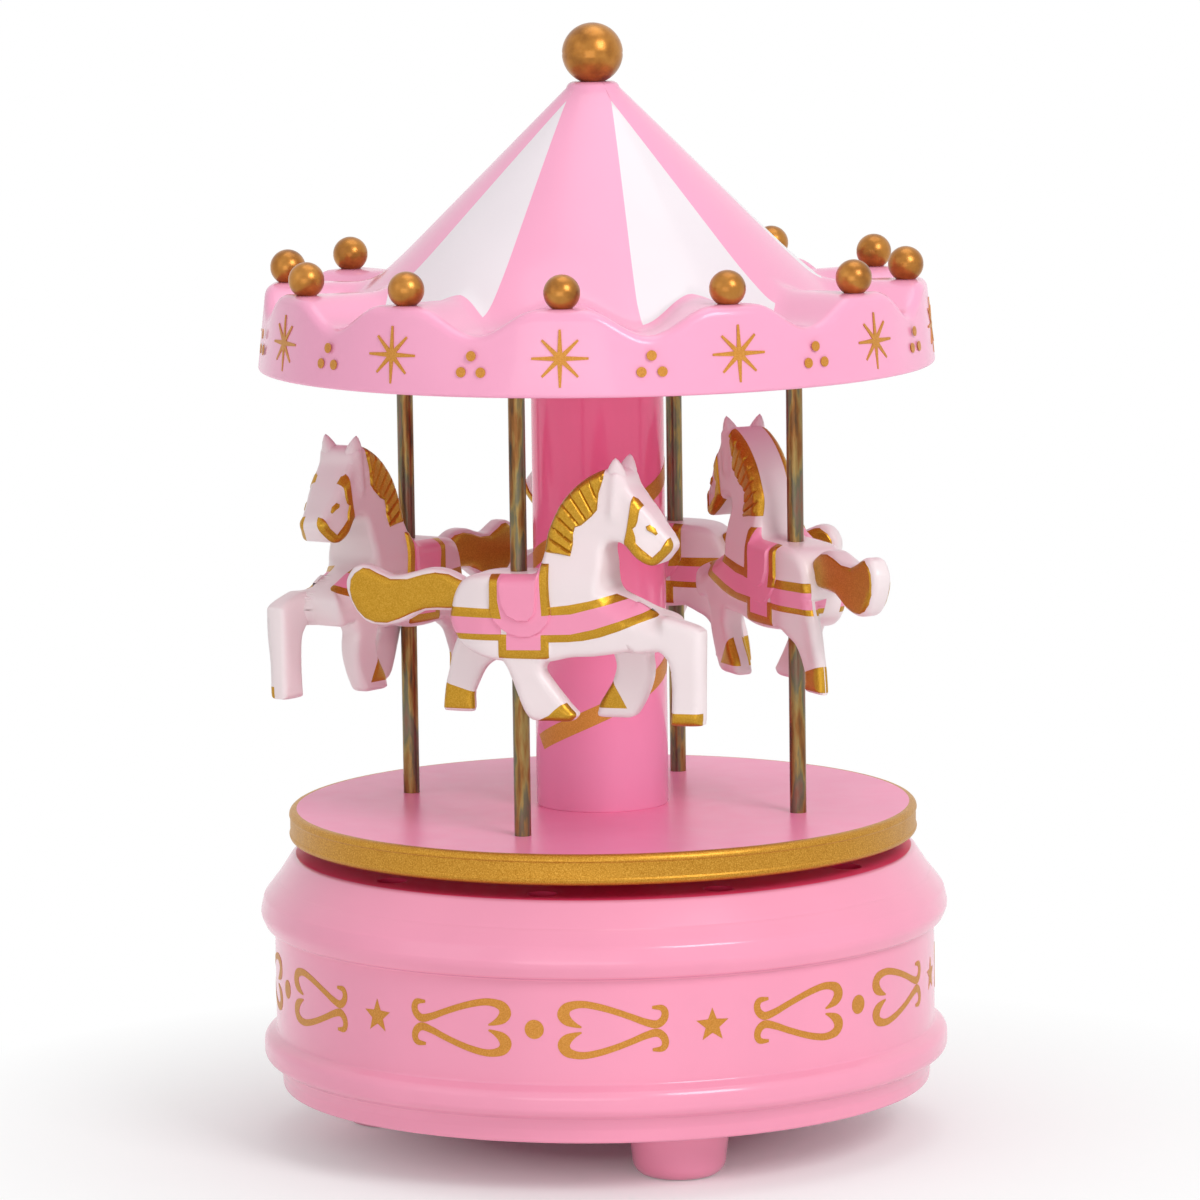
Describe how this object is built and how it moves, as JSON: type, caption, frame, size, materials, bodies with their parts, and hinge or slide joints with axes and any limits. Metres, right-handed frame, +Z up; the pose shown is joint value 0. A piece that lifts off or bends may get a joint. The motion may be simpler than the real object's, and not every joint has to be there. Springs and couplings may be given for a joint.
{
  "type": "carousel music box",
  "caption": "Clockwork music box shaped as a carousel: a round base holds a wind-up movement that turns a platform, horses on poles and a scalloped cone roof.",
  "frame": {"origin": "centre of the turning axis, on the surface that the feet stand on", "axes": "+Z up along the turning axis, -Y towards the viewer of the picture, +X to their right"},
  "size_m": [0.1102, 0.1102, 0.177],
  "materials": {
    "base_pink": "glossy moulded plastic",
    "platform_pink": "glossy moulded plastic",
    "roof_pink": "glossy moulded plastic",
    "antique_gold": "satin antique gold paint",
    "plated_rod": "yellow passivated zinc plate",
    "horse_white": "painted moulded plastic",
    "steel": "bright steel",
    "zinc": "cast zinc",
    "brass": "turned brass",
    "white_plastic": "moulded nylon"
  },
  "bodies": {
    "base": {"base_shell": "base_pink", "bottom_cover": "base_pink", "foot_1": "base_pink", "foot_2": "base_pink", "foot_3": "base_pink", "cover_screws": "steel", "movement_bedplate": "zinc", "movement_screws": "steel", "cylinder_bracket": "zinc", "idler_bracket": "zinc", "governor_bracket": "zinc", "bracket_screws": "steel", "comb": "steel", "comb_rail": "zinc", "comb_screws": "steel", "deck_bush": "brass"},
    "carousel": {"spring_barrel": "brass", "barrel_lid": "zinc", "mainspring": "steel", "drive_spindle": "steel", "spindle_screw": "steel", "platform": "platform_pink", "column": "platform_pink", "pole_front": "plated_rod", "pole_right": "plated_rod", "pole_back": "plated_rod", "pole_left": "plated_rod", "horse_front": "horse_white", "horse_right": "horse_white", "horse_back": "horse_white", "horse_left": "horse_white", "ceiling_plate": "platform_pink", "roof_shell": "roof_pink", "rim_ball_1": "antique_gold", "rim_ball_2": "antique_gold", "rim_ball_3": "antique_gold", "rim_ball_4": "antique_gold", "rim_ball_5": "antique_gold", "rim_ball_6": "antique_gold", "rim_ball_7": "antique_gold", "rim_ball_8": "antique_gold", "rim_ball_9": "antique_gold", "rim_ball_10": "antique_gold", "rim_ball_11": "antique_gold", "rim_ball_12": "antique_gold", "finial_ball": "antique_gold"},
    "winding_key": {"winding_key": "steel", "winding_arbor": "steel"},
    "tune_drum": {"tune_cylinder": "brass", "cylinder_arbor": "steel", "cylinder_pinion": "brass", "cylinder_wheel": "brass"},
    "idler": {"idler_arbor": "steel", "idler_pinion": "brass", "worm_wheel": "white_plastic"},
    "governor": {"worm_shaft": "steel", "governor_fan": "white_plastic"}
  },
  "joints": [
    {"name": "carousel_spin", "type": "hinge", "parent": "base", "child": "carousel", "pos_m": [0, 0, 0.0459], "axis": [0, 0, 1], "continuous": true},
    {"name": "key_turn", "type": "hinge", "parent": "base", "child": "winding_key", "pos_m": [0, 0, 0.005], "axis": [0, 0, 1], "continuous": true},
    {"name": "cylinder_spin", "type": "hinge", "parent": "base", "child": "tune_drum", "pos_m": [0.0275, 0, 0.026], "axis": [1, 0, 0], "continuous": true},
    {"name": "idler_spin", "type": "hinge", "parent": "base", "child": "idler", "pos_m": [0.038, -0.012, 0.026], "axis": [1, 0, 0], "continuous": true},
    {"name": "governor_spin", "type": "hinge", "parent": "base", "child": "governor", "pos_m": [0.043, -0.0045, 0.026], "axis": [0, 0, 1], "continuous": true}
  ],
  "couplings": [
    {"joint": "cylinder_spin", "follows": "carousel_spin", "ratio": 4},
    {"joint": "idler_spin", "follows": "carousel_spin", "ratio": -12},
    {"joint": "governor_spin", "follows": "carousel_spin", "ratio": 288}
  ]
}
